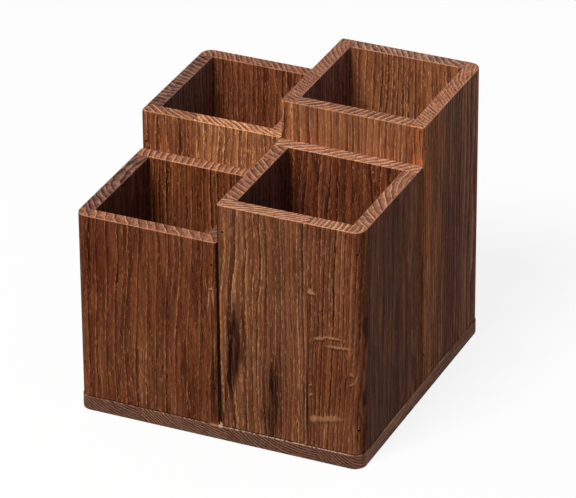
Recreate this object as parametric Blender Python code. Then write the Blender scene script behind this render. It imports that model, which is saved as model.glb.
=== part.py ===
"""Cutlery organizer: four open oak boxes of three heights, two by two on one shared base board.

Each box is four boards. Two of them run the full length of their sides and cover the ends of the
other two, which are butted between them. Headless pins go through the covering boards into those
ends. The origin is at the centre of the underside, +X to the right, +Y to the back, +Z up.
"""

import math
from collections import namedtuple

import bmesh
import bpy
from mathutils import Matrix

# Boxes, in metres
BOX_WIDTH = 0.0795
BOX_DEPTH = 0.0795
SHORT_HEIGHT = 0.1065
MIDDLE_HEIGHT = 0.1285
TALL_HEIGHT = 0.150
BOARD = 0.008
GLUE_LINE = 0.0002

# Base board, which stands a hair proud of the boxes
BASE_THICKNESS = 0.008
BASE_LIP = 0.0004

# Rounded corners in plan, and eased edges
OUTER_RADIUS = 0.006
MEETING_RADIUS = 0.0015
RIM_EASE = 0.0004
BASE_TOP_EASE = 0.0005
BASE_FOOT_EASE = 0.0003

# Edge-glued staves, and where the base's joints are across its width
STAVE_WIDTH = 0.0497
RIGHT_BOX_BACK_STAVE = 0.0443
RIGHT_BOX_SIDE_STAVE = 0.0466
BASE_JOINT_SHARES = (0.222, 0.5325, 0.843)

# Headless pins and the holes that they made
PIN_RADIUS = 0.00035
PIN_LENGTH = 0.020
PIN_TAPER = 0.0012
PIN_TIP_RADIUS = 0.00012
PIN_SUNK = 0.0008
PIN_CLEARANCE = 0.00015
CUT_OVERRUN = 0.002

# Counts of facets, and the share at which Blender's bevel is an arc
OUTER_ARC_STEPS = 8
MEETING_ARC_STEPS = 4
EASE_STEPS = 2
PIN_SIDES = 12
ROUND_PROFILE_SHARE = 0.5

# How near a point must be to a face or a level to count as on it
PICK_TOLERANCE = 0.00001

# Where the pins were driven: across the covered board's thickness from the end of the covering
# board, and up the box's height. Left and right are as seen from outside the covering board.
PIN_PLACE_SHARES = {
    "short_box": {
        "left_high": (0.25, 0.873),
        "left_low": (0.41, 0.183),
        "right_high": (0.34, 0.876),
        "right_low": (0.27, 0.200),
    },
    "right_box": {
        "left_high": (0.42, 0.884),
        "left_low": (0.50, 0.125),
        "right_high": (0.34, 0.903),
        "right_low": (0.24, 0.112),
    },
    "left_box": {
        "left_high": (0.30, 0.861),
        "left_low": (0.44, 0.140),
        "right_high": (0.38, 0.870),
        "right_low": (0.47, 0.132),
    },
    "tall_box": {
        "left_high": (0.40, 0.912),
        "left_low": (0.31, 0.107),
        "right_high": (0.36, 0.905),
        "right_low": (0.45, 0.115),
    },
}

# Oak, by stave: the smoke took unevenly, so the staves differ
BROWN_OAK = (0.150, 0.058, 0.024)
RED_OAK = (0.165, 0.052, 0.020)
TAWNY_OAK = (0.215, 0.088, 0.036)
PALE_OAK = (0.270, 0.120, 0.050)
BASE_OAK = (0.130, 0.056, 0.028)
OAK_ROUGHNESS = 0.55
PIN_STEEL = (0.045, 0.040, 0.036)
PIN_ROUGHNESS = 0.60

# Places that follow from the sizes above
PITCH_X = BOX_WIDTH + GLUE_LINE
PITCH_Y = BOX_DEPTH + GLUE_LINE
BASE_WIDTH = PITCH_X + BOX_WIDTH + BASE_LIP + BASE_LIP
BASE_DEPTH = PITCH_Y + BOX_DEPTH + BASE_LIP + BASE_LIP
BASE_LEFT = -BASE_WIDTH / 2
BASE_FRONT = -BASE_DEPTH / 2
BASE_RADIUS = OUTER_RADIUS + BASE_LIP
BOXES_Z = BASE_THICKNESS + GLUE_LINE

Box = namedtuple("Box", "name column row height covering staves tones")

# The covering sides hide the ends of the other two. staves gives, for a side made of two staves,
# the width of the first one from that side's left end, as seen from outside.
BOXES = (
    Box("short_box", "left", "front", SHORT_HEIGHT, ("front", "back"), {}, {"front": (RED_OAK,)}),
    Box(
        "right_box",
        "right",
        "front",
        MIDDLE_HEIGHT,
        ("front", "back"),
        {
            "front": STAVE_WIDTH,
            "back": BOX_WIDTH - RIGHT_BOX_BACK_STAVE,
            "left": BOX_DEPTH - BOARD - RIGHT_BOX_SIDE_STAVE,
        },
        {"front": (BROWN_OAK, RED_OAK), "back": (RED_OAK, RED_OAK)},
    ),
    Box(
        "left_box",
        "left",
        "back",
        MIDDLE_HEIGHT,
        ("front", "back"),
        {"front": BOX_WIDTH - STAVE_WIDTH},
        {"front": (RED_OAK, PALE_OAK)},
    ),
    Box("tall_box", "right", "back", TALL_HEIGHT, ("left", "right"), {}, {"front": (TAWNY_OAK,)}),
)

# A box's sides, a quarter turn apart, and its corners, each at the left end of the side in the same
# place, seen from outside. Both go anticlockwise from the front, seen from above.
SIDES = ("front", "right", "back", "left")
CORNERS = (("left", "front"), ("right", "front"), ("right", "back"), ("left", "back"))


def clear_scene():
    for obj in list(bpy.data.objects):
        bpy.data.objects.remove(obj)


def material(name, colour, roughness, metallic):
    made = bpy.data.materials.new(name)
    made.use_nodes = True
    shader = made.node_tree.nodes["Principled BSDF"]
    shader.inputs["Base Color"].default_value = (*colour, 1)
    shader.inputs["Roughness"].default_value = roughness
    shader.inputs["Metallic"].default_value = metallic
    return made


def add_object(name, mesh_data, place, finish):
    mesh = bpy.data.meshes.new(name)
    mesh_data.to_mesh(mesh)
    mesh_data.free()
    mesh.materials.append(finish)
    obj = bpy.data.objects.new(name, mesh)
    obj.matrix_world = place
    bpy.context.scene.collection.objects.link(obj)
    return obj


def corner(x, y, radius, start_turn):
    """Points of one corner of an outline, anticlockwise. start_turn is in quarter turns, 0 towards +X."""
    if not radius:
        return [(x, y)]
    steps = OUTER_ARC_STEPS if radius > MEETING_RADIUS else MEETING_ARC_STEPS
    middle = math.radians(90 * start_turn + 45)
    centre_x = x - math.copysign(radius, math.cos(middle))
    centre_y = y - math.copysign(radius, math.sin(middle))
    points = []
    for step in range(steps + 1):
        angle = math.radians(90 * (start_turn + step / steps))
        points.append((centre_x + radius * math.cos(angle), centre_y + radius * math.sin(angle)))
    return points


def rounded_outline(low, high, radii, back_stops=()):
    """A rectangle's outline, anticlockwise from its front left corner.

    radii are for the front left, front right, back right and back left corners. back_stops are
    further points on its back edge, given from right to left.
    """
    (x0, y0), (x1, y1) = low, high
    points = corner(x0, y0, radii[0], 2)
    points += corner(x1, y0, radii[1], 3)
    points += corner(x1, y1, radii[2], 0)
    points += [(x, y1) for x in back_stops]
    points += corner(x0, y1, radii[3], 1)
    return points


def extruded(outline, height):
    """A closed solid: the outline on z = 0, drawn up to the height."""
    solid = bmesh.new()
    face = solid.faces.new([solid.verts.new((x, y, 0)) for x, y in outline])
    raised = bmesh.ops.extrude_face_region(solid, geom=[face], use_keep_orig=True)
    top = [item for item in raised["geom"] if isinstance(item, bmesh.types.BMVert)]
    bmesh.ops.translate(solid, verts=top, vec=(0, 0, height))
    bmesh.ops.recalc_face_normals(solid, faces=solid.faces[:])
    return solid


def ease_edges(solid, level, width, is_open):
    """Rounds over the level edges at this height whose middle is on an open side."""
    picked = []
    for edge in solid.edges:
        ends = [vert.co for vert in edge.verts]
        middle = (ends[0] + ends[1]) / 2
        at_level = all(abs(end.z - level) < PICK_TOLERANCE for end in ends)
        if at_level and is_open(middle):
            picked.append(edge)
    bmesh.ops.bevel(
        solid,
        geom=picked,
        offset=width,
        offset_type="OFFSET",
        segments=EASE_STEPS,
        profile=ROUND_PROFILE_SHARE,
        affect="EDGES",
    )


def box_corner(box):
    """The box's front left lower corner."""
    x = BASE_LEFT + BASE_LIP
    y = BASE_FRONT + BASE_LIP
    x += PITCH_X if box.column == "right" else 0
    y += PITCH_Y if box.row == "back" else 0
    return x, y


def side_frame(box, side):
    """A side's own frame: x along it from its left end seen from outside, y inwards, z up."""
    turns = SIDES.index(side)
    column, row = CORNERS[turns]
    x, y = box_corner(box)
    x += BOX_WIDTH if column == "right" else 0
    y += BOX_DEPTH if row == "back" else 0
    return Matrix.Translation((x, y, BOXES_Z)) @ Matrix.Rotation(math.radians(90 * turns), 4, "Z")


def side_length(side):
    return BOX_WIDTH if side in ("front", "back") else BOX_DEPTH


def corner_radius(box, side, end):
    """The plan radius where this side ends, 0 at its left and 1 at its right seen from outside."""
    place = CORNERS[(SIDES.index(side) + end) % len(CORNERS)]
    return OUTER_RADIUS if place == (box.column, box.row) else MEETING_RADIUS


def side_staves(box, side):
    """The start and end of each stave along a side."""
    inset = 0 if side in box.covering else BOARD + GLUE_LINE
    start, end = inset, side_length(side) - inset
    if side not in box.staves:
        return [(start, end)]
    joint = box.staves[side]
    return [(start, joint - GLUE_LINE / 2), (joint + GLUE_LINE / 2, end)]


def make_stave(box, side, span, name, tone):
    """One stave of a side, or the whole board where the side is one stave."""
    start, end = span
    length = side_length(side)
    covers = side in box.covering
    radii = [0, 0, 0, 0]
    if covers and start == 0:
        radii[0] = corner_radius(box, side, 0)
    if covers and end == length:
        radii[1] = corner_radius(box, side, 1)
    stops = [x for x in (length - BOARD, BOARD) if covers and start < x < end]
    solid = extruded(rounded_outline((start, 0), (end, BOARD), radii, stops), box.height)

    def is_open(point):
        if point.y > BOARD - PICK_TOLERANCE:
            return not covers or BOARD < point.x < length - BOARD
        at_glued_end = min(abs(point.x - start), abs(point.x - end)) < PICK_TOLERANCE
        at_outer_end = min(abs(point.x), abs(point.x - length)) < PICK_TOLERANCE
        return not at_glued_end or (covers and at_outer_end)

    ease_edges(solid, box.height, RIM_EASE, is_open)
    finish = material(name + "_oak", tone, OAK_ROUGHNESS, 0)
    return add_object(name, solid, side_frame(box, side), finish)


def make_side(box, side):
    """A side's boards, named by the side, and by the stave where there are two."""
    spans = side_staves(box, side)
    tones = box.tones.get(side, (BROWN_OAK,) * len(spans))
    made = []
    for count, (span, tone) in enumerate(zip(spans, tones), 1):
        name = f"{box.name}_{side}"
        if side in box.staves:
            name += f"_stave_{count}"
        made.append(make_stave(box, side, span, name, tone))
    return made


def surface_depth(radius, across):
    """How far a rounded corner's face lies behind the flat one, this far from the corner."""
    if across >= radius:
        return 0
    return radius - math.sqrt(radius**2 - (radius - across) ** 2)


def pin_frames(box):
    """Each pin's name and frame: z along the pin from the board's face at that place inwards."""
    frames = []
    for side in box.covering:
        for place, (across_share, height_share) in PIN_PLACE_SHARES[box.name].items():
            end = 0 if place.startswith("left") else 1
            across = across_share * BOARD
            x = across if end == 0 else side_length(side) - across
            depth = surface_depth(corner_radius(box, side, end), across)
            spot = Matrix.Translation((x, depth, height_share * box.height))
            inwards = Matrix.Rotation(math.radians(-90), 4, "X")
            frames.append((f"{box.name}_pin_{side}_{place}", side_frame(box, side) @ spot @ inwards))
    return frames


def turned(profile):
    """A round solid from a profile of radius and height that starts and ends on its axis."""
    solid = bmesh.new()
    points = [solid.verts.new((radius, 0, z)) for radius, z in profile]
    edges = [solid.edges.new(pair) for pair in zip(points, points[1:])]
    bmesh.ops.spin(
        solid,
        geom=points + edges,
        axis=(0, 0, 1),
        cent=(0, 0, 0),
        angle=math.radians(360),
        steps=PIN_SIDES,
        use_merge=True,
    )
    bmesh.ops.remove_doubles(solid, verts=solid.verts[:], dist=PICK_TOLERANCE)
    bmesh.ops.recalc_face_normals(solid, faces=solid.faces[:])
    return solid


def make_pin(name, frame):
    """A headless pin, sunk below the board's face, with a tapered point."""
    head = PIN_SUNK
    tip = PIN_SUNK + PIN_LENGTH
    profile = [(0, head), (PIN_RADIUS, head), (PIN_RADIUS, tip - PIN_TAPER), (PIN_TIP_RADIUS, tip), (0, tip)]
    finish = material(name + "_steel", PIN_STEEL, PIN_ROUGHNESS, 1)
    pin = add_object(name, turned(profile), frame, finish)
    pin.data.shade_smooth()
    pin.data.set_sharp_from_angle(angle=math.radians(40))
    return pin


def make_hole_cutter(box):
    """All pin holes of one box, as one hidden cutter."""
    radius = PIN_RADIUS + PIN_CLEARANCE
    mouth = -CUT_OVERRUN
    bottom = PIN_SUNK + PIN_LENGTH + PIN_CLEARANCE
    cutter = bmesh.new()
    for _, frame in pin_frames(box):
        bmesh.ops.create_cone(
            cutter,
            cap_ends=True,
            segments=PIN_SIDES,
            radius1=radius,
            radius2=radius,
            depth=bottom - mouth,
            matrix=frame @ Matrix.Translation((0, 0, (bottom + mouth) / 2)),
        )
    finish = material(f"{box.name}_cutter", PIN_STEEL, PIN_ROUGHNESS, 0)
    obj = add_object(f"{box.name}_pin_holes", cutter, Matrix.Identity(4), finish)
    obj.hide_render = True
    obj.display_type = "WIRE"
    return obj


def drill(board, cutter):
    """Cuts the pin holes. The cutter stays as it is, so it can serve every board of its box."""
    cut = board.modifiers.new("pin_holes", "BOOLEAN")
    cut.operation = "DIFFERENCE"
    cut.solver = "EXACT"
    cut.object = cutter


def make_box(box):
    """The four sides of one box, with its pins."""
    cutter = make_hole_cutter(box)
    for side in SIDES:
        for board in make_side(box, side):
            drill(board, cutter)
    for name, frame in pin_frames(box):
        make_pin(name, frame)


def base_spans():
    """The start and end of each of the base's staves along its width."""
    joints = [share * BASE_WIDTH for share in BASE_JOINT_SHARES]
    starts = [0] + [joint + GLUE_LINE / 2 for joint in joints]
    ends = [joint - GLUE_LINE / 2 for joint in joints] + [BASE_WIDTH]
    return list(zip(starts, ends))


def make_base_stave(index, start, end):
    """One stave of the base board, grain front to back."""
    left = BASE_RADIUS if start == 0 else 0
    right = BASE_RADIUS if end == BASE_WIDTH else 0
    outline = rounded_outline((start, 0), (end, BASE_DEPTH), (left, right, right, left))
    solid = extruded(outline, BASE_THICKNESS)

    def is_open(point):
        at_glued_start = start > 0 and abs(point.x - start) < PICK_TOLERANCE
        at_glued_end = end < BASE_WIDTH and abs(point.x - end) < PICK_TOLERANCE
        return not at_glued_start and not at_glued_end

    ease_edges(solid, BASE_THICKNESS, BASE_TOP_EASE, is_open)
    ease_edges(solid, 0, BASE_FOOT_EASE, is_open)
    name = f"base_stave_{index}"
    finish = material(name + "_oak", BASE_OAK, OAK_ROUGHNESS, 0)
    place = Matrix.Translation((BASE_LEFT, BASE_FRONT, 0))
    return add_object(name, solid, place, finish)


def main():
    clear_scene()
    for index, (start, end) in enumerate(base_spans(), 1):
        make_base_stave(index, start, end)
    for box in BOXES:
        make_box(box)


main()
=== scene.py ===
import math
from collections import namedtuple
from itertools import combinations

import bmesh
import bpy
from mathutils import Matrix, Vector


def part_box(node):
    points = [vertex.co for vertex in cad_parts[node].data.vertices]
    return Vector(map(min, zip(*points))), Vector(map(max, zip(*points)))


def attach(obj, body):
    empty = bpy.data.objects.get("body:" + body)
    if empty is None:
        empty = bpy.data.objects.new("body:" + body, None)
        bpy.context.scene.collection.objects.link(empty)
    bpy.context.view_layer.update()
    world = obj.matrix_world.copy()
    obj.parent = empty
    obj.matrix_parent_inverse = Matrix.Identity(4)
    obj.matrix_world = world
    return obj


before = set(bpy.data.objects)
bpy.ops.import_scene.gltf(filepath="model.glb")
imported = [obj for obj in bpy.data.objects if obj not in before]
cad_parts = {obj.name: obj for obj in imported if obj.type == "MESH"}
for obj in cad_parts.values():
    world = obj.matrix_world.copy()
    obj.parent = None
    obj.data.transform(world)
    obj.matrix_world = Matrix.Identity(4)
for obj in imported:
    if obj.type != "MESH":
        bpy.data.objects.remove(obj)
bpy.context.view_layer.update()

# The cutlery organizer's looks: smoked and oiled oak, board by board, with the glue in its joints.
# The scene is in metres. The wood's patterns and marks are in millimetres, in the row's frame.
MM = 0.001
PER_MM = 1000

# Camera, from the photograph's edges
CAMERA_PLACE = (0.8314, -1.83702, 1.17666)
CAMERA_TARGET = (0.0373, -0.07448, 0.11696)
CAMERA_ROLL = math.radians(0.40)
CAMERA_LENS = 275.565
SENSOR_WIDTH = 36
NEAREST_SEEN = 0.1
FARTHEST_SEEN = 50

# Light
WORLD_STRENGTH = 0.17
FLOOR_BOUNCE = 0.28
FLOOR_SHOWN = 0.97
FLOOR_GLOW_SHARE = 0.86
FLOOR_HALF = 6
FLOOR_ROUGHNESS = 0.9
KEY_PLACE = (-0.95, -3.7, 5.2)
KEY_SIZE = 2.4
KEY_POWER = 412
LAMP_TARGET = (0, 0, 0.08)

# Glue films
WIDEST_JOINT = 0.25 * MM
LEAST_OVERLAP = 1 * MM
FILM_WANDER = 0.12 * MM
FILM_STEP = 3 * MM
FILM_WAVES = 23
FILM_SHIFT = 40
SHALLOW = 0.12 * MM
DEEP = 2.0 * MM
GLUE_SIZE = (1.5, 1.5, 6)
GLUE_SPAN = (0.35, 0.65)
GLUE_DARK = (0.050, 0.020, 0.012)
GLUE_PALE = (0.170, 0.070, 0.036)
GLUE_ROUGHNESS = (0.6, 0.8)
GLUE_BUMP = {"Strength": 0.4, "Distance": 0.05 * MM}

# Pins, and the dirt in their holes
OXIDE_SIZE = (0.4, 0.4, 0.4)
OXIDE_SPAN = (0.35, 0.70)
OXIDE_DARK = (0.006, 0.005, 0.005)
OXIDE_RUBBED = (0.030, 0.025, 0.022)
OXIDE_ROUGHNESS = (0.45, 0.75)
HOLE_EDGE = (0.54, 0.66, 1.0, 0.0)
HOLE_DIRT = (0.04, 0.05, 0.07)

# Surface of the wood
WOOD_SPECULAR = 0.02
WOOD_BUMP = {"Strength": 0.7, "Distance": 0.2 * MM}
WOOD_ROUGHNESS = (0.50, 0.75)
STREAK_ROUGHNESS = 0.12
STREAK_GAIN = (3.1, 4.1, 4.1)
END_LINE_GAIN = (2.4, 2.6, 2.25)
SIDE_POWERS = (1.14, 1.02)
END_POWERS = (1.12, 1.02)
TINT_SIZE = (4, 4, 50)
TINT_REACH = (0.0, 0.30, 0.40)
HALF = (0.5, 0.5, 0.5)
WHITE = (1, 1, 1)

# Noise that bends the grain: the size of its cells, and how far it pushes
SWAY_SIZE = (24, 24, 85)
SWAY_REACH = 7
WOBBLE_SIZE = (6, 6, 40)
WOBBLE_REACH = 1.6
SQUIGGLE_SIZE = (1.4, 1.4, 4.5)
END_RIPPLE = 0.7
DRIFT_SIZE = (12, 12, 12)
DRIFT_REACH = 3

# The parts of a ring: where each fades in or out, in millimetres after its start or before its end
START_BAND = (0.10, 0.0)
DENSE_RISE = (1.5, 0.25)
DENSE_STOP = (0.0, 0.12)
GLOW_BAND = (1.3, 0.3)
EDGE_RISE = (0.70, 0.30)
EDGE_STOP = (0.05, 0.20)
STREAK_BAND = (0.75, 0.40)
SECOND_BAND = (0.45, 0.15)
SECOND_PLACE = 0.55
SECOND_STRENGTH = 0.7
END_LINE_BAND = (0.90, 0.50)
END_FALL = (0.10, 0.95, 1.10, 0.84)
WEAKEST_RING = 0.3
LEAST_NARROWING = 0.35

# Fine dots and threads
FUZZ_SIZE = (0.28, 0.28, 0.9)
THREAD_SIZE = (0.50, 0.50, 20)
THREAD_GAIN = 0.06
THREAD_SPAN = (0.60, 0.68)
PORE_SIZE = (0.9, 0.9, 6)
PORE_EDGE = (0.16, 0.34, 1.0, 0.0)
PORE_IN_LINE = 0.30

# Patterns in the wood: the size of the noise's cells, its detail, and the span of its values over
# which the pattern goes from start to end. The first seven lie across, through and along the grain,
# the next four across, round and along the rings, and the last two in the row's frame.
Pattern = namedtuple("Pattern", "size detail low high start end", defaults=(0.0, 1.0))
TONE = Pattern((5, 5, 70), 2.0, 0.36, 0.64)
STRIPE = Pattern((1.6, 1.6, 45), 2.0, 0.38, 0.62)
FIBRE = Pattern((0.42, 0.42, 13), 1.5, 0.36, 0.64)
FADE = Pattern((2.5, 2.5, 20), 2.0, 0.38, 0.55, 0.25, 1.0)
DASH = Pattern((0.50, 0.50, 2.6), 1.0, 0.45, 0.56, 0.10, 1.0)
LOOSE = Pattern((0.45, 0.45, 4.0), 1.0, 0.64, 0.68, 0.0, 0.6)
LINES = Pattern((0.7, 0.7, 24), 1.5, 0.38, 0.60, 0.30, 1.0)
MOTTLE = Pattern((0.7, 2.0, 12), 2.0, 0.48, 0.62)
RAY = Pattern((7, 0.6, 30), 1.0, 0.54, 0.66)
SPECK = Pattern((0.45, 0.7, 9), 1.0, 0.30, 0.70)
BREAKS = Pattern((3, 1.4, 12), 2.0, 0.30, 0.50, 0.45, 1.0)
HATCH = Pattern((0.5, 0.5, 1.6), 1.0, 0.38, 0.56, 0.45, 0.90)
BROKEN_LINE = Pattern((1.6, 1.6, 1.6), 2.0, 0.44, 0.56)

# How square a face must look along the grain to be end grain, or to be the arris beside it
END_SPAN = (0.50, 0.96)
ARRIS_RISE = (0.12, 0.34)
ARRIS_FALL = (0.94, 0.99, 1.0, 0.0)
# How strongly each board's arris is paled, partly as wear and partly as a painted highlight
ARRIS_WEAR_AND_HIGHLIGHT = {"base_stave_1": 0.1, "base_stave_2": 0.1, "base_stave_3": 0.3, "base_stave_4": 0.3}

# Painted shade along the foot of each box, where it meets the base
FOOT_REACH = 1.0
FOOT_SIZE = (0.8, 0.8, 2.0)
FOOT_EDGE = (0.5, 1.3, 1.0, 0.0)
FOOT_SHADE = (0.30, 0.26, 0.30)

# What keeps the boards' patterns apart
SEED_STEP = (137.0, 61.0, 83.0)


def opaque(colour):
    """A colour as a socket takes it."""
    return (*colour, 1)


class Nodes:
    """Adds nodes to one tree. A value may be a number, a tuple or another node's output."""

    def __init__(self, tree):
        self.tree = tree

    def feed(self, socket, value):
        if isinstance(value, bpy.types.NodeSocket):
            self.tree.links.new(value, socket)
        else:
            socket.default_value = value

    def add(self, kind, inputs=None, **settings):
        node = self.tree.nodes.new(kind)
        for name, value in settings.items():
            setattr(node, name, value)
        for key, value in (inputs or {}).items():
            self.feed(node.inputs[key], value)
        return node

    def math(self, operation, *values):
        return self.add("ShaderNodeMath", dict(enumerate(values)), operation=operation).outputs[0]

    def product(self, first, *others):
        for other in others:
            first = self.math("MULTIPLY", first, other)
        return first

    def between(self, amount, none, full):
        """none where the amount is 0, and full where it is 1."""
        return self.math("MULTIPLY_ADD", amount, full - none, none)

    def shaded(self, shade, spans):
        """The shade times each span, which is an amount with what it gives at 0 and at 1."""
        for amount, none, full in spans:
            shade = self.math("MULTIPLY", shade, self.between(amount, none, full))
        return shade

    def vector(self, operation, *values):
        node = self.add("ShaderNodeVectorMath", dict(enumerate(values)), operation=operation)
        return node.outputs["Value" if operation == "LENGTH" else "Vector"]

    def scaled(self, vector, factor):
        node = self.add("ShaderNodeVectorMath", {"Vector": vector, "Scale": factor}, operation="SCALE")
        return node.outputs["Vector"]

    def split(self, vector):
        return self.add("ShaderNodeSeparateXYZ", {0: vector}).outputs

    def joined(self, x, y, z):
        return self.add("ShaderNodeCombineXYZ", {0: x, 1: y, 2: z}).outputs[0]

    def ramp(self, value, low, high, start=0.0, end=1.0):
        """A smooth step from start at low to end at high. low may be the greater of the two."""
        if low > high:
            low, high, start, end = high, low, end, start
        inputs = {"Value": value, "From Min": low, "From Max": high, "To Min": start, "To Max": end}
        return self.add("ShaderNodeMapRange", inputs, interpolation_type="SMOOTHSTEP").outputs["Result"]

    def noise(self, vector, size, detail=2.0):
        """Noise whose cells are this size, in the vector's own unit. Gives value and colour."""
        stretched = self.vector("DIVIDE", vector, size)
        inputs = {"Vector": stretched, "Scale": 1.0, "Detail": detail, "Roughness": 0.5}
        return self.add("ShaderNodeTexNoise", inputs, noise_dimensions="3D").outputs

    def pattern(self, vector, pattern):
        noise = self.noise(vector, pattern.size, pattern.detail)[0]
        return self.ramp(noise, pattern.low, pattern.high, pattern.start, pattern.end)

    def wander(self, vector, size):
        """A vector of noise with cells of this size, up to half a unit each way."""
        return self.vector("SUBTRACT", self.noise(vector, size)["Color"], HALF)

    def mix(self, factor, first, second, blend="MIX"):
        node = self.add("ShaderNodeMix", {0: factor, 6: first, 7: second}, data_type="RGBA", blend_type=blend)
        return node.outputs[2]

    def multiplied_where(self, amount, colour, multiplier):
        """The colour, multiplied by the given colour where the amount is 1. It lays stains, dirt and painted
        shade.
        """
        return self.mix(amount, colour, self.mix(1.0, colour, opaque(multiplier), "MULTIPLY"))

    def toned(self, body, shade, powers):
        """The body colour in this shade. Red follows it as it is, green and blue by these powers."""
        green, blue = (self.math("POWER", shade, power) for power in powers)
        return self.mix(1.0, body, self.joined(shade, green, blue), "MULTIPLY")

    def bump(self, shader, height, settings):
        node = self.add("ShaderNodeBump", {**settings, "Height": height})
        self.feed(shader.inputs["Normal"], node.outputs["Normal"])


def group(name, inputs, outputs):
    """An empty node group, with its input and output nodes."""
    tree = bpy.data.node_groups.new(name, "ShaderNodeTree")
    kinds = {"float": "NodeSocketFloat", "vector": "NodeSocketVector", "colour": "NodeSocketColor"}
    for direction, sockets in (("INPUT", inputs), ("OUTPUT", outputs)):
        for label, kind in sockets:
            tree.interface.new_socket(name=label, in_out=direction, socket_type=kinds[kind])
    nodes = Nodes(tree)
    return tree, nodes, nodes.add("NodeGroupInput").outputs, nodes.add("NodeGroupOutput")


def make_oak_group():
    """Oak as a solid pattern, so that a board's faces and ends belong together.

    Grain is a point in millimetres: across, through and along the board. The rings run round the
    pith line, which leans a little, and three sizes of noise bend them. Each ring starts with its
    pale band of open pores and ends dark and dense.
    """
    tree, n, given, out = group(
        "oak",
        [
            ("Grain", "vector"),
            ("Seed", "vector"),
            ("Pith", "vector"),
            ("Lean", "vector"),
            ("Spacing", "float"),
            ("Wave", "float"),
            ("Ripple", "float"),
            ("Contrast", "float"),
            ("End Contrast", "float"),
            ("Streak", "float"),
            ("End Streak", "float"),
            ("Narrowing", "float"),
            ("End", "float"),
            ("Arris", "float"),
            ("Body", "colour"),
            ("Line", "colour"),
            ("End Body", "colour"),
            ("End Line", "colour"),
        ],
        [("Color", "colour"), ("Roughness", "float"), ("Height", "float"), ("Flow", "vector")],
    )
    grain = given["Grain"]
    place = n.vector("ADD", grain, given["Seed"])
    seed = n.split(given["Seed"])["X"]
    narrowing = given["Narrowing"]

    # The grain, bent by noise
    on_side = n.math("SUBTRACT", 1.0, given["End"])
    ripple = n.math("MULTIPLY_ADD", given["Ripple"], on_side, n.math("MULTIPLY", given["End"], END_RIPPLE))
    bent = grain
    for size, reach in (
        (SWAY_SIZE, n.math("MULTIPLY", given["Wave"], SWAY_REACH)),
        (WOBBLE_SIZE, n.math("MULTIPLY", given["Wave"], WOBBLE_REACH)),
        (SQUIGGLE_SIZE, ripple),
    ):
        bent = n.vector("ADD", bent, n.scaled(n.wander(place, size), reach))
    flow = n.vector("ADD", bent, given["Seed"])

    # Rings
    along = n.split(grain)["Z"]
    middle = n.vector("ADD", given["Pith"], n.scaled(given["Lean"], along))
    from_pith = n.vector("MULTIPLY", n.vector("SUBTRACT", bent, middle), (1, 1, 0))
    radius = n.vector("LENGTH", from_pith)
    drift = n.noise(n.joined(radius, seed, 0), DRIFT_SIZE, 1.0)[0]
    radius = n.math("MULTIPLY_ADD", drift, DRIFT_REACH, radius)
    rings = n.math("DIVIDE", radius, given["Spacing"])
    turn = n.math("FRACT", rings)
    ring_seed = n.joined(n.math("FLOOR", rings), seed, 0)
    bold = n.add("ShaderNodeTexWhiteNoise", {"Vector": ring_seed}, noise_dimensions="3D").outputs["Value"]
    strong = n.between(bold, WEAKEST_RING, 1.0)
    after = n.math("MULTIPLY", turn, given["Spacing"])
    before = n.math("SUBTRACT", given["Spacing"], after)
    start = n.ramp(before, *START_BAND)
    dense = n.product(n.ramp(before, *DENSE_RISE), n.ramp(before, *DENSE_STOP), strong)

    # Along the grain: tone, stripes, fibres, dark threads and the broken pale streaks of open pores
    tone = n.pattern(flow, TONE)
    stripe = n.pattern(flow, STRIPE)
    fibre = n.pattern(flow, FIBRE)
    fuzz = n.noise(place, FUZZ_SIZE, 1.0)[0]
    threads = n.noise(flow, THREAD_SIZE, 1.5)[0]
    thread = n.ramp(n.math("MULTIPLY_ADD", dense, THREAD_GAIN, threads), *THREAD_SPAN)
    dash = n.pattern(place, DASH)
    shown = n.math("MULTIPLY", strong, n.pattern(flow, FADE))
    side_after = n.math("DIVIDE", after, narrowing)
    side_before = n.math("DIVIDE", before, narrowing)
    glow = n.math("MULTIPLY", n.ramp(side_after, *GLOW_BAND), shown)
    edge = n.math("MULTIPLY", n.ramp(side_before, *EDGE_RISE), n.ramp(side_before, *EDGE_STOP))
    edge = n.product(edge, shown, n.between(fibre, 0.4, 1.0))
    second_place = n.math("MULTIPLY", given["Spacing"], SECOND_PLACE)
    half_way = n.math("ABSOLUTE", n.math("SUBTRACT", after, second_place))
    second = n.math("MULTIPLY", n.ramp(n.math("DIVIDE", half_way, narrowing), *SECOND_BAND), bold)
    streak = n.math("MAXIMUM", start, n.ramp(side_after, *STREAK_BAND))
    streak = n.math("MAXIMUM", streak, n.math("MULTIPLY", second, SECOND_STRENGTH))
    streak = n.math("MAXIMUM", n.product(streak, shown, dash), n.pattern(flow, LOOSE))
    streak = n.math("MULTIPLY", streak, given["Streak"])
    tint = n.math("SUBTRACT", n.noise(flow, TINT_SIZE)[0], 0.5)
    tint = n.vector("MULTIPLY_ADD", n.joined(0.0, tint, tint), TINT_REACH, WHITE)

    # Across the grain: pores, rays, and dark flecks along each ring
    cells = n.add("ShaderNodeTexVoronoi", {"Vector": n.vector("DIVIDE", place, PORE_SIZE), "Scale": 1.0})
    pore = n.ramp(cells.outputs["Distance"], *PORE_EDGE)
    parts = n.split(from_pith)
    round_pith = n.math("MULTIPLY", n.math("ARCTAN2", parts["Y"], parts["X"]), radius)
    polar = n.joined(radius, round_pith, along)
    mottle = n.pattern(polar, MOTTLE)
    ray = n.pattern(polar, RAY)
    speck = n.pattern(polar, SPECK)
    breaks = n.pattern(polar, BREAKS)

    # Long grain
    shade = n.shaded(
        n.between(tone, 0.78, 1.22),
        (
            (stripe, 0.84, 1.16),
            (fibre, 0.82, 1.18),
            (fuzz, 0.66, 1.34),
            (thread, 1.0, 0.48),
            (dense, 1.0, 0.50),
            (edge, 1.0, 0.48),
            (glow, 1.0, 1.35),
        ),
    )
    shade = n.math("POWER", shade, given["Contrast"])
    side = n.mix(streak, n.toned(given["Body"], shade, SIDE_POWERS), given["Line"])
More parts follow.
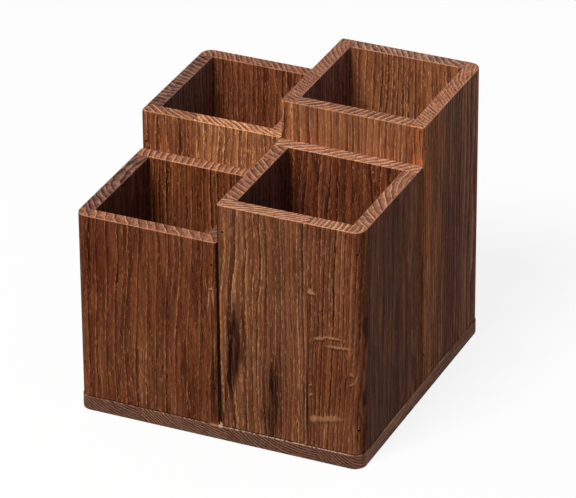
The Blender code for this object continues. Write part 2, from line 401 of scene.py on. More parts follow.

    # End grain, whose colours hold a painted sheen on the rims as well as their own colour
    end_line = n.math("MAXIMUM", start, n.ramp(after, *END_LINE_BAND))
    end_line = n.product(end_line, strong, n.math("MULTIPLY", breaks, given["End Streak"]))
    shade = n.shaded(n.between(tone, 0.86, 1.20), ((dense, 1.06, 0.52),))
    shade = n.math("MULTIPLY", shade, n.ramp(turn, *END_FALL))
    shade = n.math("POWER", shade, given["End Contrast"])
    shade = n.shaded(shade, ((speck, 0.68, 1.34), (mottle, 1.12, 0.66), (ray, 0.92, 1.30)))
    ends = n.mix(end_line, n.toned(given["End Body"], shade, END_POWERS), given["End Line"])
    pitted = n.between(given["End Streak"], 0.9, 0.2)
    dots = n.math("MULTIPLY", pore, n.math("MULTIPLY_ADD", end_line, PORE_IN_LINE, pitted))
    dots = n.math("SUBTRACT", 1.0, dots)
    ends = n.mix(1.0, ends, n.joined(dots, dots, dots), "MULTIPLY")

    # Both together
    colour = n.mix(1.0, n.mix(given["End"], side, ends), tint, "MULTIPLY")
    # The arris paler: partly wear, partly a painted highlight where the eased edge catches the light
    highlight_and_wear = n.math("MULTIPLY", given["Arris"], n.between(dash, 0.20, 0.65))
    n.feed(out.inputs["Color"], n.mix(highlight_and_wear, colour, given["End Line"]))
    rough = n.between(fuzz, *WOOD_ROUGHNESS)
    n.feed(out.inputs["Roughness"], n.math("MULTIPLY_ADD", streak, STREAK_ROUGHNESS, rough))
    height = n.math("MULTIPLY", thread, -0.5)
    open_pore = n.math("MULTIPLY", pore, given["End"])
    for amount, rise in ((fibre, 0.35), (fuzz, 0.5), (streak, 0.6), (open_pore, -0.8)):
        height = n.math("MULTIPLY_ADD", amount, rise, height)
    n.feed(out.inputs["Height"], height)
    n.feed(out.inputs["Flow"], flow)
    return tree


def make_mark_group():
    """How much of a mark shows at a place: 1 in its middle, and nothing beyond its ragged edge."""
    tree, n, given, out = group(
        "mark",
        [
            ("Place", "vector"),
            ("Centre", "vector"),
            ("Radii", "vector"),
            ("Turn", "float"),
            ("Ragged", "vector"),
        ],
        [("Amount", "float")],
    )
    uneven = n.wander(given["Place"], RAGGED_SIZE)
    place = n.vector("MULTIPLY_ADD", uneven, given["Ragged"], given["Place"])
    inputs = {"Vector": place, "Center": given["Centre"], "Angle": given["Turn"]}
    turned = n.add("ShaderNodeVectorRotate", inputs, rotation_type="Y_AXIS").outputs[0]
    off = n.vector("DIVIDE", n.vector("SUBTRACT", turned, given["Centre"]), given["Radii"])
    n.feed(out.inputs["Amount"], n.ramp(n.vector("LENGTH", off), *MARK_EDGE))
    return tree


# How a board was sawn, and its colours. towards is the direction of the pith as seen from above, in
# degrees from +X; for the base it is as seen from the front. distance is the way to the pith and
# spacing that between rings, in millimetres. lean is the pith's tilt to the sides. wave and ripple
# bend the grain, contrast is how far its shades part, and streak is how much the open pores show. body
# is the colour between the lines. Names that start with end are the end grain's; on the boxes' rims
# the end grain's colour holds a painted sheen as well as the wood's own colour.
Cut = namedtuple(
    "Cut",
    "towards distance spacing body end_body wave ripple lean contrast end_contrast streak end_streak",
    defaults=(1.0, 0.7, (0, 0.01), 1.0, 1.2, 0.8, 1.0),
)
CUTS = {
    "short_box_front": Cut(
        towards=29, distance=150, spacing=5.0, ripple=0.8, lean=(0.02, 0), contrast=1.05, streak=1.0,
        body=(0.145, 0.0413, 0.0163), end_body=(0.302, 0.12, 0.0691),
    ),
    "short_box_back": Cut(
        towards=5, distance=90, spacing=3.6, ripple=0.9, lean=(0.01, 0), contrast=1.25, streak=1.1,
        body=(0.156, 0.0415, 0.015), end_body=(0.35, 0.146, 0.0828),
    ),
    # Boards named _left have a bluer body: their own colour with a painted cool cast of the shade on their
    # inner faces
    "short_box_left": Cut(
        towards=20, distance=38, spacing=3.4, wave=1.1, lean=(0, 0.02), end_contrast=2.1, end_streak=0.8,
        body=(0.196, 0.0789, 0.0619), end_body=(0.17, 0.0771, 0.0546),
    ),
    "short_box_right": Cut(
        towards=160, distance=60, spacing=3.0,
        body=(0.155, 0.052, 0.024), end_body=(0.19, 0.088, 0.057),
    ),
    "right_box_front_stave_1": Cut(
        towards=125, distance=72, spacing=2.3, wave=0.7, ripple=0.35, lean=(0, 0), contrast=0.85,
        end_contrast=1.1, streak=0.9,
        body=(0.19, 0.0657, 0.0288), end_body=(0.376, 0.168, 0.101),
    ),
    "right_box_front_stave_2": Cut(
        towards=180, distance=90, spacing=2.6, wave=0.7, ripple=0.8, lean=(0.03, 0), contrast=0.95,
        end_contrast=1.1, streak=0.9,
        body=(0.176, 0.0555, 0.0237), end_body=(0.367, 0.162, 0.095),
    ),
    "right_box_back_stave_1": Cut(
        towards=135, distance=80, spacing=3.2, ripple=1.1, lean=(0, 0), contrast=1.25, streak=1.1,
        body=(0.163, 0.0439, 0.018), end_body=(0.396, 0.179, 0.108),
    ),
    "right_box_back_stave_2": Cut(
        towards=128, distance=90, spacing=3.4, ripple=1.1, lean=(0.01, 0), contrast=1.25, streak=1.1,
        body=(0.163, 0.0439, 0.018), end_body=(0.396, 0.179, 0.108),
    ),
    "right_box_left_stave_1": Cut(
        towards=52, distance=60, spacing=3.9, wave=0.9, end_contrast=1.3,
        body=(0.16, 0.0652, 0.0512), end_body=(0.279, 0.116, 0.0708),
    ),
    "right_box_left_stave_2": Cut(
        towards=52, distance=80, spacing=3.7, wave=0.9, end_contrast=1.3,
        body=(0.16, 0.0652, 0.0512), end_body=(0.27, 0.112, 0.0689),
    ),
    "right_box_right": Cut(
        towards=30, distance=50, spacing=3.8, wave=1.1, ripple=0.5, contrast=1.45, end_contrast=1.1,
        streak=0.4,
        body=(0.182, 0.0689, 0.038), end_body=(0.307, 0.133, 0.081),
    ),
    "left_box_front_stave_1": Cut(
        towards=57, distance=90, spacing=3.0, wave=0.7, ripple=0.6, lean=(0.01, 0), contrast=1.05,
        end_contrast=1.3, streak=1.0,
        body=(0.232, 0.073, 0.03), end_body=(0.3, 0.127, 0.0694),
    ),
    "left_box_front_stave_2": Cut(
        towards=55, distance=80, spacing=2.5, wave=0.7, ripple=0.6, lean=(0.01, 0), contrast=0.95,
        end_contrast=1.3, streak=0.9,
        body=(0.358, 0.13, 0.0526), end_body=(0.465, 0.198, 0.106),
    ),
    "left_box_back": Cut(
        towards=40, distance=110, spacing=2.6, wave=0.9, ripple=0.9, lean=(0.02, 0), contrast=1.25,
        streak=1.1,
        body=(0.185, 0.052, 0.0215), end_body=(0.257, 0.105, 0.0647),
    ),
    "left_box_left": Cut(
        towards=80, distance=40, spacing=3.6, wave=1.1, lean=(0, 0.02), end_contrast=2.2, end_streak=0.7,
        body=(0.274, 0.136, 0.106), end_body=(0.171, 0.0787, 0.057),
    ),
    "left_box_right": Cut(
        towards=70, distance=70, spacing=3.0,
        body=(0.155, 0.052, 0.024), end_body=(0.372, 0.158, 0.0942),
    ),
    "tall_box_front": Cut(
        towards=147, distance=80, spacing=3.1, wave=0.6, ripple=0.5, lean=(0.01, 0), contrast=0.7,
        end_contrast=1.5, streak=0.5,
        body=(0.288, 0.101, 0.0437), end_body=(0.293, 0.125, 0.0749),
    ),
    "tall_box_back": Cut(
        towards=35, distance=90, spacing=3.1, wave=0.8, lean=(0.01, 0), contrast=0.85, end_contrast=1.5,
        end_streak=0.8,
        body=(0.279, 0.0935, 0.0388), end_body=(0.283, 0.133, 0.0874),
    ),
    "tall_box_left": Cut(
        towards=50, distance=55, spacing=2.4, wave=0.7, ripple=0.6, end_contrast=0.8, end_streak=0.35,
        body=(0.284, 0.130, 0.098), end_body=(0.31, 0.132, 0.0814),
    ),
    "tall_box_right": Cut(
        towards=42, distance=60, spacing=2.2, wave=0.7, ripple=0.5, contrast=1.3, end_contrast=0.7,
        streak=0.4, end_streak=0.35,
        body=(0.297, 0.123, 0.0704), end_body=(0.383, 0.16, 0.0929),
    ),
    "base_stave_1": Cut(
        towards=65, distance=60, spacing=1.6, wave=0.5, ripple=0.3, lean=(0, 0), contrast=1.1,
        end_contrast=1.05, streak=0.6, end_streak=0.9,
        body=(0.26, 0.112, 0.066), end_body=(0.135, 0.061, 0.041),
    ),
    "base_stave_2": Cut(
        towards=62, distance=75, spacing=1.5, wave=0.5, ripple=0.3, lean=(0, 0), contrast=1.1,
        end_contrast=1.05, streak=0.6, end_streak=0.9,
        body=(0.26, 0.112, 0.066), end_body=(0.15, 0.068, 0.045),
    ),
    "base_stave_3": Cut(
        towards=66, distance=55, spacing=1.6, wave=0.5, ripple=0.3, lean=(0, 0), contrast=1.1,
        end_contrast=1.05, streak=0.6, end_streak=0.9,
        body=(0.26, 0.112, 0.066), end_body=(0.133, 0.059, 0.04),
    ),
    "base_stave_4": Cut(
        towards=58, distance=65, spacing=1.6, wave=0.5, ripple=0.3, lean=(0, 0), contrast=1.1,
        end_contrast=1.05, streak=0.6, end_streak=0.9,
        body=(0.583, 0.281, 0.187), end_body=(0.126, 0.0554, 0.0376),
    ),
}

# Marks on single boards: where they are and how far they reach, in millimetres in the row's frame,
# their turn in degrees and how ragged they are. A stain multiplies the colour that it covers; some
# stains are painted shade, and some take a painted cool cast of shade back out. A fleck of ray or a
# chip covers the colour, and each fleck has a painted shadow just below it. A swelling pushes the grain
# aside by the millimetres that it gives. Streaks are a stain that takes to some of the grain's lines
# more than to others, and a line of highlight and wear is a chip in broken dashes: a painted highlight
# along an arris, partly pale with wear as well.
Mark = namedtuple("Mark", "kind centre radii turn ragged value")
MARK_EDGE = (0.30, 1.0, 1.0, 0.0)
RAGGED_SIZE = (0.9, 0.9, 4)
STAIN_DRAWN = (0.4, 6.0)
COMB_SIZE = (0.6, 0.6, 5)
COMB_DEPTH = 2.2
FLECK_RISE = 0.8
# Each fleck has a painted shadow this far below it, in millimetres, in this colour
FLECK_SHADOW_DROP = 1.0
FLECK_PAINTED_SHADOW = (0.55, 0.50, 0.52)

# Their colours
FLECK = (0.50, 0.235, 0.108)
DIM_FLECK = (0.48, 0.222, 0.10)
GREY_FLECK = (0.40, 0.27, 0.18)
ARCH = (0.52, 0.25, 0.13)
CHIP = (0.62, 0.38, 0.24)
CHIP_TAIL = (0.42, 0.17, 0.08)
# The painted highlight along the base's top arris
ARRIS_HIGHLIGHT = (0.54, 0.37, 0.25)
# Takes the painted cool cast of shade back out of a left board's outer faces
UNSHADED_WARMTH = (1.04, 0.83, 0.50)
DARK = (0.42, 0.38, 0.42)
DARKER = (0.20, 0.18, 0.22)
SHUT = (0.28, 0.24, 0.28)
# Painted shade in the groove between two boxes
GROOVE_SHADE = (0.10, 0.09, 0.11)

# The faces that they lie on: the boxes' front and sides, those at the middle of the block, the inner
# face of the right box's back, and the base's front
FRONT = -79.6
SIDE = 79.6
MIDDLE = 0.1
BACK_INSIDE = -8.1
BASE_FRONT = -80
MARKS = {
    # The warming marks on the left boards take the painted cool cast of shade back out of their outer faces
    "short_box_left": [
        Mark("stain", (-SIDE, 0, 80), (4, 400, 600), 0, 0, UNSHADED_WARMTH),
    ],
    "left_box_left": [
        Mark("stain", (-SIDE, 0, 80), (4, 400, 600), 0, 0, UNSHADED_WARMTH),
    ],
    "right_box_left_stave_1": [
        Mark("stain", (MIDDLE, 0, 80), (4, 400, 600), 0, 0, UNSHADED_WARMTH),
    ],
    "right_box_left_stave_2": [
        Mark("stain", (MIDDLE, 0, 80), (4, 400, 600), 0, 0, UNSHADED_WARMTH),
    ],
    "tall_box_left": [
        Mark("stain", (MIDDLE, 40, 150), (4, 46, 60), 0, 0, UNSHADED_WARMTH),
        Mark("stain", (5, MIDDLE, 80), (16, 3, 600), 0, 0, (1.08, 0.80, 0.46)),
        Mark("stain", (5, SIDE, 80), (16, 3, 600), 0, 0, (0.80, 0.66, 0.52)),
    ],
    "short_box_front": [
        Mark("stain", (-45, FRONT, 32), (26, 5, 40), 0, 2.0, (1.22, 1.36, 1.40)),
        Mark("stain", (-66, FRONT, 92), (12, 5, 30), 0, 2.0, (0.72, 0.62, 0.60)),
        Mark("chip", (0.2, FRONT, 8.8), (1.3, 3, 1.6), 0, 0.5, CHIP),
        Mark("chip", (-2.6, FRONT, 8.2), (3.6, 3, 0.8), 0, 0.4, CHIP_TAIL),
        Mark("fleck", (-3.5, FRONT, 87.4), (1.9, 2, 0.8), 0, 0.4, ARCH),
        Mark("fleck", (-4.8, FRONT, 80.5), (0.6, 2, 9.5), 5, 0.4, ARCH),
        Mark("fleck", (-2.2, FRONT, 82.0), (0.6, 2, 8.0), -3, 0.4, ARCH),
        Mark("fleck", (-1.9, FRONT, 48.0), (0.42, 2, 22), 0, 0.8, ARCH),
        # Painted shade in the groove where this box meets the right box
        Mark("stain", (-0.1, FRONT, 62), (0.6, 3, 400), 0, 0.3, GROOVE_SHADE),
        Mark("streaks", (-2.0, FRONT, 28), (3.2, 3, 34), 0, 0.5, DARK),
    ],
    "right_box_front_stave_1": [
        # Painted shade in the groove where this box meets the short box
        Mark("stain", (0.85, FRONT, 62), (1.0, 3, 400), -0.35, 0.3, GROOVE_SHADE),
        Mark("streaks", (9.0, FRONT, 58), (5.2, 4, 36), 1, 1.5, DARKER),
        Mark("stain", (9.2, FRONT, 60), (4.2, 4, 30), 1, 1.0, (0.36, 0.31, 0.34)),
        Mark("streaks", (6.4, FRONT, 34), (4.0, 4, 28), 5, 1.5, DARKER),
        Mark("streaks", (13.0, FRONT, 66), (2.6, 4, 28), 0, 1.5, DARK),
        Mark("streaks", (30.0, FRONT, 28), (7.0, 4, 42), 1, 1.5, DARKER),
        Mark("stain", (31.0, FRONT, 30), (4.0, 4, 36), 1, 1.0, (0.52, 0.46, 0.48)),
        Mark("stain", (18, FRONT, 95), (12, 4, 55), 0, 2.0, (1.20, 1.22, 1.15)),
        Mark("stain", (49.6, FRONT, 34), (1.0, 2, 34), 0, 0.4, SHUT),
        Mark("chip", (1.0, FRONT, 9.0), (1.6, 3, 1.8), 0, 0.5, CHIP),
        Mark("swell", (9.6, FRONT, 58), (14, 6, 56), 0, 0, 3.0),
        Mark("swell", (31, FRONT, 36), (12, 6, 46), 0, 0, 1.8),
    ],
    "right_box_front_stave_2": [
        Mark("stain", (49.8, FRONT, 34), (0.9, 2, 34), 0, 0.4, SHUT),
        Mark("fleck", (51.3, FRONT, 98.4), (1.68, 2, 2.12), 0, 0.9, FLECK),
        Mark("fleck", (52.8, FRONT, 97.3), (2.24, 2, 1.12), -12, 0.8, FLECK),
        Mark("fleck", (57.0, FRONT, 72.6), (5.15, 2, 1.25), -16, 1.0, FLECK),
        Mark("fleck", (63.8, FRONT, 74.1), (6.27, 2, 0.875), -3, 0.9, FLECK),
        Mark("fleck", (66.8, FRONT, 69.3), (10.1, 2, 1.12), -5, 0.9, FLECK),
        Mark("fleck", (61.0, FRONT, 26.4), (12.4, 2, 2.3), -13, 1.4, DIM_FLECK),
        Mark("fleck", (53.2, FRONT, 24.4), (2.4, 2, 3.0), 0, 1.4, DIM_FLECK),
        Mark("fleck", (76.6, FRONT, 52.6), (1.01, 2, 4), 12, 1.0, FLECK),
        Mark("fleck", (74.2, FRONT, 55.0), (1.57, 2, 1.5), 0, 1.0, FLECK),
        Mark("fleck", (74.4, FRONT, 49.6), (2.02, 2, 1), -30, 1.0, FLECK),
        Mark("fleck", (51.6, FRONT, 44.2), (1.3, 2, 0.9), -20, 1.2, DIM_FLECK),
        Mark("fleck", (51.6, FRONT, 38.4), (1.3, 2, 0.9), -20, 1.2, DIM_FLECK),
        Mark("stain", (64, FRONT, 48), (16, 4, 30), 0, 3.0, (0.72, 0.62, 0.58)),
        Mark("stain", (53, FRONT, 116), (7, 4, 22), 0, 3.0, (1.30, 1.35, 1.35)),
        Mark("stain", (SIDE, -74.2, 82), (3, 4.2, 9), 0, 2.0, (0.30, 0.26, 0.40)),
        Mark("stain", (SIDE, -74.6, 41), (3, 3.6, 9), 0, 2.0, (0.34, 0.30, 0.42)),
        Mark("stain", (SIDE, -75.0, 62), (4, 6, 120), 0, 0, (0.92, 0.86, 0.84)),
    ],
    "right_box_back_stave_2": [
        Mark("fleck", (44.1, BACK_INSIDE, 132.0), (0.7, 2, 0.9), 0, 0.4, GREY_FLECK),
    ],
    "base_stave_2": [
        Mark("chip", (1.0, FRONT, 8.0), (2.0, 3, 1.5), 0, 0.5, CHIP),
        Mark("chip", (-2.6, FRONT, 7.9), (3.4, 3, 0.9), 0, 0.4, CHIP_TAIL),
        Mark("chip", (3.6, FRONT, 7.9), (1.8, 3, 0.6), 0, 0.4, CHIP_TAIL),
    ],
    "base_stave_3": [
        # A painted highlight along the base's top arris at the front, in broken dashes
        Mark("highlight_and_wear", (30, BASE_FRONT, 8.0), (60, 3, 0.6), 0, 0.2, ARRIS_HIGHLIGHT),
    ],
    "base_stave_4": [
        Mark("highlight_and_wear", (62, BASE_FRONT, 8.0), (20, 3, 0.6), 0, 0.2, ARRIS_HIGHLIGHT),
        Mark("stain", (78, -78, 4), (6.5, 5, 60), 0, 0, (0.46, 0.42, 0.38)),
    ],
    "right_box_back_stave_1": [
        Mark("stain", (SIDE, -4, 80), (3, 7, 400), 0, 0, (1.16, 1.44, 1.56)),
        Mark("fleck", (55.1, BACK_INSIDE, 132.0), (0.7, 2, 0.9), 0, 0.4, GREY_FLECK),
        Mark("fleck", (59.1, BACK_INSIDE, 131.0), (0.6, 2, 0.9), 0, 0.4, GREY_FLECK),
    ],
    "tall_box_front": [
        Mark("stain", (20.5, MIDDLE, 147), (0.5, 2, 14), 0, 0.5, (0.35, 0.30, 0.32)),
    ],
    "tall_box_right": [
        Mark("stain", (SIDE, 0, 80), (24, 38, 260), 0, 0, (1.52, 1.28, 0.98)),
        Mark("stain", (SIDE, 80, 80), (5, 34, 400), 0, 0, (1.42, 1.42, 1.42)),
        Mark("stain", (SIDE, 0, 80), (16, 3, 260), 0, 0, (0.90, 0.80, 0.69)),
        Mark("stain", (SIDE, 40, 70), (5, 20, 90), 0, 6.0, (0.78, 0.70, 0.75)),
    ],
    "right_box_right": [
        Mark("stain", (SIDE, -28, 30), (5, 14, 60), 0, 6.0, (0.80, 0.80, 0.85)),
        Mark("stain", (SIDE, -10, 70), (8, 26, 200), 0, 0, (1.56, 1.60, 1.55)),
    ],
}

OAK = make_oak_group()
MARK = make_mark_group()


def new_material(name):
    """A material with its shader, and a writer for its nodes."""
    made = bpy.data.materials.new(name)
    made.use_nodes = True
    shader = made.node_tree.nodes["Principled BSDF"]
    return made, Nodes(made.node_tree), shader


def mark_amount(n, place, mark):
    """How much of this mark shows at the place. A stain's edge is drawn out along the grain."""
    across, along = STAIN_DRAWN if mark.kind in ("stain", "streaks") else (1.0, 1.0)
    inputs = {
        "Place": place,
        "Centre": mark.centre,
        "Radii": mark.radii,
        "Turn": math.radians(-mark.turn),
        "Ragged": (mark.ragged * across, mark.ragged * across, mark.ragged * along),
    }
    return n.add("ShaderNodeGroup", inputs, node_tree=MARK).outputs["Amount"]


def pins_through(board):
    """The pins whose boxes meet this board's."""
    low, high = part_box(board)
    found = []
    for name in sorted(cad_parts):
        if "_pin_" not in name:
            continue
        pin_low, pin_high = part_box(name)
        if all(pin_low[axis] < high[axis] and low[axis] < pin_high[axis] for axis in range(3)):
            found.append(name)
    return found


def hole_amount(n, place, pin_name):
    """1 in the hole round this pin, and 0 a little outside it."""
    low, high = (corner * PER_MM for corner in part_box(pin_name))
    size = high - low
    long = max(range(3), key=lambda axis: size[axis])
    across = tuple(0.0 if axis == long else 1.0 for axis in range(3))
    off = n.vector("MULTIPLY", n.vector("SUBTRACT", place, tuple((low + high) / 2)), across)
    return n.ramp(n.vector("LENGTH", off), *HOLE_EDGE)


def swollen(n, place, marks):
    """The way across the board, pushed aside round each swelling."""
    x = n.split(place)["X"]
    across = x
    for mark in marks:
        if mark.kind == "swell":
            aside = n.math("DIVIDE", n.math("SUBTRACT", x, mark.centre[0]), mark.radii[0])
            push = n.product(aside, mark_amount(n, place, mark), -mark.value)
            across = n.math("ADD", across, push)
    return across


def add_foot_shade(n, place, foot, colour):
    """The colour with painted shade just above the foot, whose height is given."""
    above = n.math("SUBTRACT", n.split(place)["Z"], foot)
    ragged = n.math("MULTIPLY", n.noise(place, FOOT_SIZE)[0], FOOT_REACH)
    return n.multiplied_where(n.ramp(n.math("DIVIDE", above, ragged), *FOOT_EDGE), colour, FOOT_SHADE)


def add_marks(n, place, flow, on_side, marks, colour, height):
    """The colour and the height with these marks. Only chips and the lines of highlight and wear reach the
    end grain.
    """
    kinds = {mark.kind for mark in marks}
    if "streaks" in kinds:
        lines = n.pattern(flow, LINES)
    if "fleck" in kinds:
        combed = n.vector("MULTIPLY_ADD", n.wander(place, COMB_SIZE), (0, 0, COMB_DEPTH), place)
        hatch = n.pattern(place, HATCH)
    for mark in marks:
        if mark.kind in ("stain", "streaks"):
            amount = n.math("MULTIPLY", mark_amount(n, place, mark), on_side)
            if mark.kind == "streaks":
                amount = n.math("MULTIPLY", amount, lines)
            colour = n.multiplied_where(amount, colour, mark.value)
        if mark.kind == "fleck":
            amount = n.math("MULTIPLY", mark_amount(n, combed, mark), on_side)
            # A painted shadow just below the fleck, as if it stood proud of the face
            above = n.vector("ADD", combed, (0, 0, FLECK_SHADOW_DROP))
            colour = n.multiplied_where(n.math("MULTIPLY", mark_amount(n, above, mark), on_side), colour, FLECK_PAINTED_SHADOW)
            colour = n.mix(n.math("MULTIPLY", amount, hatch), colour, opaque(mark.value))
            height = n.math("MULTIPLY_ADD", amount, FLECK_RISE, height)
        if mark.kind in ("chip", "highlight_and_wear"):
            amount = mark_amount(n, place, mark)
            if mark.kind == "highlight_and_wear":
                amount = n.math("MULTIPLY", amount, n.pattern(place, BROKEN_LINE))
            colour = n.mix(amount, colour, opaque(mark.value))
    return colour, height


def oak_material(node_name, cut, number):
    """The oak of one board, sawn as cut says. number keeps its pattern apart from the others'."""
    made, n, shader = new_material(f"{node_name}_oak")
    marks = MARKS.get(node_name, [])
    coordinates = n.add("ShaderNodeTexCoord").outputs
    place = n.scaled(coordinates["Object"], PER_MM)
    parts = n.split(place)
    normal = n.split(coordinates["Normal"])
    across = swollen(n, place, marks)
    low, high = (corner * PER_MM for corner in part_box(node_name))
    middle = (low + high) / 2
    lies_flat = node_name.startswith("base")
    if lies_flat:
        grain = n.joined(across, parts["Z"], parts["Y"])
        squareness = n.math("ABSOLUTE", normal["Y"])
        heart = (middle.x, middle.z)
    else:
        grain = n.joined(across, parts["Y"], parts["Z"])
        squareness = n.math("ABSOLUTE", normal["Z"])
        heart = (middle.x, middle.y)
    end = n.ramp(squareness, *END_SPAN)
    arris = n.math("MULTIPLY", n.ramp(squareness, *ARRIS_RISE), n.ramp(squareness, *ARRIS_FALL))
    angle = math.radians(cut.towards)
    crosses_x = lies_flat or "_front" in node_name or "_back" in node_name
    inputs = {
        "Grain": grain,
        "Seed": tuple(step * number for step in SEED_STEP),
        "Pith": (heart[0] + cut.distance * math.cos(angle), heart[1] + cut.distance * math.sin(angle), 0),
        "Lean": (*cut.lean, 0),
        "Spacing": cut.spacing,
        "Wave": cut.wave,
        "Ripple": cut.ripple,
        "Contrast": cut.contrast,
        "End Contrast": cut.end_contrast,
        "Streak": cut.streak,
        "End Streak": cut.end_streak,
        "Narrowing": max(LEAST_NARROWING, abs(math.cos(angle) if crosses_x else math.sin(angle))),
        "End": end,
        "Arris": n.math("MULTIPLY", arris, ARRIS_WEAR_AND_HIGHLIGHT.get(node_name, 1.0)),
        "Body": opaque(cut.body),
        "Line": opaque(c * gain for c, gain in zip(cut.body, STREAK_GAIN)),
        "End Body": opaque(cut.end_body),
        "End Line": opaque(c * gain for c, gain in zip(cut.end_body, END_LINE_GAIN)),
    }
    oak = n.add("ShaderNodeGroup", inputs, node_tree=OAK).outputs
    colour = oak["Color"]
    if not lies_flat:
        # Painted shade in the gap where the box stands on the base
        colour = add_foot_shade(n, place, low.z, colour)
    on_side = n.math("SUBTRACT", 1.0, end)
    colour, height = add_marks(n, place, oak["Flow"], on_side, marks, colour, oak["Height"])
    for pin_name in pins_through(node_name):
        colour = n.multiplied_where(hole_amount(n, place, pin_name), colour, HOLE_DIRT)
    n.feed(shader.inputs["Base Color"], colour)
    n.feed(shader.inputs["Roughness"], oak["Roughness"])
    n.bump(shader, height, WOOD_BUMP)
    shader.inputs["Specular IOR Level"].default_value = WOOD_SPECULAR
    return made


def mottled_material(name, size, span, dark, pale, roughness):
    """A material that goes from dark to pale with noise. Gives its writer, shader and noise too."""
    made, n, shader = new_material(name)
    place = n.scaled(n.add("ShaderNodeTexCoord").outputs["Object"], PER_MM)
    mottle = n.noise(place, size, 3.0)[0]
    n.feed(shader.inputs["Base Color"], n.mix(n.ramp(mottle, *span), opaque(dark), opaque(pale)))
    n.feed(shader.inputs["Roughness"], n.between(mottle, *roughness))
    return made, n, shader, mottle


def pin_material():
    """Dark oxidised steel, mottled and rubbed brighter in places."""
    look = (OXIDE_SIZE, OXIDE_SPAN, OXIDE_DARK, OXIDE_RUBBED, OXIDE_ROUGHNESS)
    made, _, shader, _ = mottled_material("pin_oxide", *look)
    shader.inputs["Metallic"].default_value = 1.0
    return made


def glue_material():
    """The glue film and the dust in it: dark brown, a little uneven."""
    look = (GLUE_SIZE, GLUE_SPAN, GLUE_DARK, GLUE_PALE, GLUE_ROUGHNESS)
    made, n, shader, uneven = mottled_material("glue_film", *look)
    n.bump(shader, uneven, GLUE_BUMP)
    shader.inputs["Specular IOR Level"].default_value = WOOD_SPECULAR
    return made


def joint_between(first, second):
    """The low and high corner of the narrow space between two boards, and its thin axis, or None."""
    boxes = [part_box(first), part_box(second)]
    low = Vector(max(box[0][axis] for box in boxes) for axis in range(3))
    high = Vector(min(box[1][axis] for box in boxes) for axis in range(3))
    apart = [axis for axis in range(3) if low[axis] >= high[axis]]
    if len(apart) != 1 or low[apart[0]] - high[apart[0]] > WIDEST_JOINT:
        return None
    thin = apart[0]
    low[thin], high[thin] = high[thin], low[thin]
    wide = [high[axis] - low[axis] for axis in range(3) if axis != thin]
    return (low, high, thin) if min(wide) > LEAST_OVERLAP else None


def add_film(bm, low, high, thin, recess):
    """A film of glue in one joint: a strip in steps, whose two long edges wander a little."""
    sides = [axis for axis in range(3) if axis != thin]
    wide, long = sorted(sides, key=lambda axis: high[axis] - low[axis])
    steps = max(2, round((high[long] - low[long]) / FILM_STEP))
    sections = []
    for step in range(steps + 1):
        share = step / steps
        shrink = recess + FILM_WANDER * (1 + math.sin(FILM_WAVES * share + FILM_SHIFT * low.length)) / 2
        section = []
        for at_thin, at_wide in ((0, 0), (1, 0), (1, 1), (0, 1)):
            corner = Vector((0, 0, 0))
            corner[thin] = (low[thin], high[thin])[at_thin]
            corner[wide] = (low[wide] + shrink, high[wide] - shrink)[at_wide]
            corner[long] = low[long] + recess + (high[long] - low[long] - 2 * recess) * share
            section.append(bm.verts.new(corner))
        sections.append(section)
    for lower, upper in zip(sections, sections[1:]):
        for i in range(4):
            bm.faces.new((lower[i], lower[i - 3], upper[i - 3], upper[i]))
    bm.faces.new(sections[0])
    bm.faces.new(sections[-1][::-1])


def make_glue_piece(name, joints, finish):
    """One piece holding the films of these joints, each a pair of boards and how far the film stays back."""
    bm = bmesh.new()
    for first, second, recess in joints:
        joint = joint_between(first, second)
        if joint:
            add_film(bm, *joint, recess)
    bmesh.ops.recalc_face_normals(bm, faces=bm.faces)
    mesh = bpy.data.meshes.new(name)
    bm.to_mesh(mesh)
    bm.free()
    mesh.materials.append(finish)
    glue = bpy.data.objects.new(name, mesh)
    bpy.context.scene.collection.objects.link(glue)
    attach(glue, "root")


def make_glue():
    """Glue in every joint: the base's, each box's with its joint to the base, and between the boxes."""
    finish = glue_material()
    boards = [name for name in sorted(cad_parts) if "_pin_" not in name]
    owners = ("base", "short_box", "right_box", "left_box", "tall_box")
    own = {owner: [name for name in boards if name.startswith(owner)] for owner in owners}
    between = []
    for owner in owners:
        joints = [(a, b, SHALLOW) for a, b in combinations(own[owner], 2)]
        if owner != "base":
            joints += [(a, b, DEEP) for a in own[owner] for b in own["base"]]
        make_glue_piece(f"{owner}_glue", joints, finish)
    for first, second in combinations(owners[1:], 2):
        between += [(a, b, DEEP) for a in own[first] for b in own[second]]
    make_glue_piece("meeting_glue", between, finish)


def dress_nodes():
    """Gives every board its own oak, and every pin its oxide."""
    oxide = pin_material()
    boards = [name for name in sorted(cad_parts) if "_pin_" not in name]
    for name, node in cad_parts.items():
        finish = oxide if "_pin_" in name else oak_material(name, CUTS[name], boards.index(name) + 1)
        node.data.materials.clear()
        node.data.materials.append(finish)


def rays_that_show(n):
    """A shader value of 1 for the rays that should see the white background."""
    rays = n.add("ShaderNodeLightPath").outputs
    shown = n.math("MAXIMUM", rays["Is Camera Ray"], rays["Is Glossy Ray"])
    return n.math("MAXIMUM", shown, rays["Is Transmission Ray"])


def make_world():
    """A plain soft sky, seen as white."""
    world = bpy.data.worlds.new("studio")
    world.use_nodes = True
    n = Nodes(world.node_tree)
    shown = rays_that_show(n)
    sky = world.node_tree.nodes["Background"]
    sky.inputs["Color"].default_value = (1, 1, 1, 1)
    n.feed(sky.inputs["Strength"], n.math("MULTIPLY_ADD", shown, 1 - WORLD_STRENGTH, WORLD_STRENGTH))
    bpy.context.scene.world = world


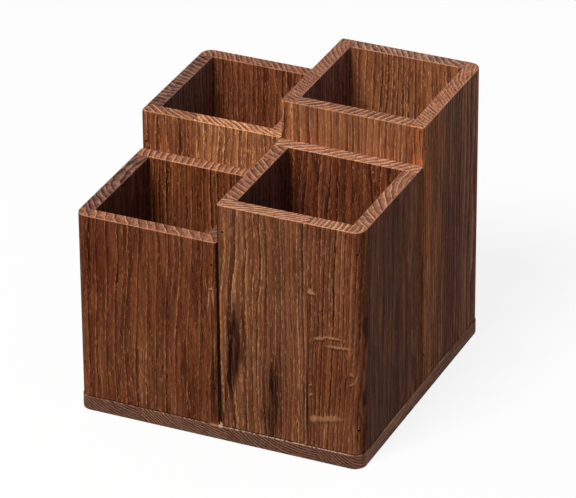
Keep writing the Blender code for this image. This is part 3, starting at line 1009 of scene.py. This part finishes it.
def make_floor():
    """A plain white floor at z = 0. It bounces less light than it shows."""
    mesh = bpy.data.meshes.new("floor")
    half = FLOOR_HALF
    corners = [(-half, -half, 0), (half, -half, 0), (half, half, 0), (-half, half, 0)]
    mesh.from_pydata(corners, [], [(0, 1, 2, 3)])
    floor = bpy.data.objects.new("floor", mesh)
    bpy.context.scene.collection.objects.link(floor)
    made, n, shader = new_material("floor_white")
    shown = rays_that_show(n)
    level = n.math("MULTIPLY_ADD", shown, FLOOR_SHOWN - FLOOR_BOUNCE, FLOOR_BOUNCE)
    n.feed(shader.inputs["Base Color"], n.joined(level, level, level))
    shader.inputs["Roughness"].default_value = FLOOR_ROUGHNESS
    shader.inputs["Specular IOR Level"].default_value = 0.0
    white = n.add("ShaderNodeEmission")
    glow = n.math("MULTIPLY", shown, FLOOR_GLOW_SHARE)
    blend = n.add("ShaderNodeMixShader", {0: glow, 1: shader.outputs[0], 2: white.outputs[0]})
    n.feed(made.node_tree.nodes["Material Output"].inputs["Surface"], blend.outputs[0])
    mesh.materials.append(made)


def make_softbox(name, place, size, power):
    """A square area light turned to the object."""
    light = bpy.data.lights.new(name, "AREA")
    light.shape = "SQUARE"
    light.size = size
    light.energy = power
    lamp = bpy.data.objects.new(name, light)
    lamp.location = place
    aim = Vector(LAMP_TARGET) - Vector(place)
    lamp.rotation_mode = "QUATERNION"
    lamp.rotation_quaternion = aim.to_track_quat("-Z", "Y")
    bpy.context.scene.collection.objects.link(lamp)


def make_camera():
    """The photograph's viewpoint."""
    data = bpy.data.cameras.new("camera")
    data.sensor_width = SENSOR_WIDTH
    data.lens = CAMERA_LENS
    data.clip_start = NEAREST_SEEN
    data.clip_end = FARTHEST_SEEN
    camera = bpy.data.objects.new("camera", data)
    place = Vector(CAMERA_PLACE)
    ahead = (Vector(CAMERA_TARGET) - place).normalized()
    right = ahead.cross(Vector((0, 0, 1))).normalized()
    down = ahead.cross(right)
    turned_right = right * math.cos(CAMERA_ROLL) + down * math.sin(CAMERA_ROLL)
    turned_down = down * math.cos(CAMERA_ROLL) - right * math.sin(CAMERA_ROLL)
    turn = Matrix((turned_right, -turned_down, -ahead)).transposed()
    camera.matrix_world = Matrix.Translation(place) @ turn.to_4x4()
    bpy.context.scene.collection.objects.link(camera)
    bpy.context.scene.camera = camera


dress_nodes()
make_glue()
make_world()
make_floor()
make_softbox("key", KEY_PLACE, KEY_SIZE, KEY_POWER)
make_camera()
bpy.context.scene.view_settings.view_transform = "Standard"
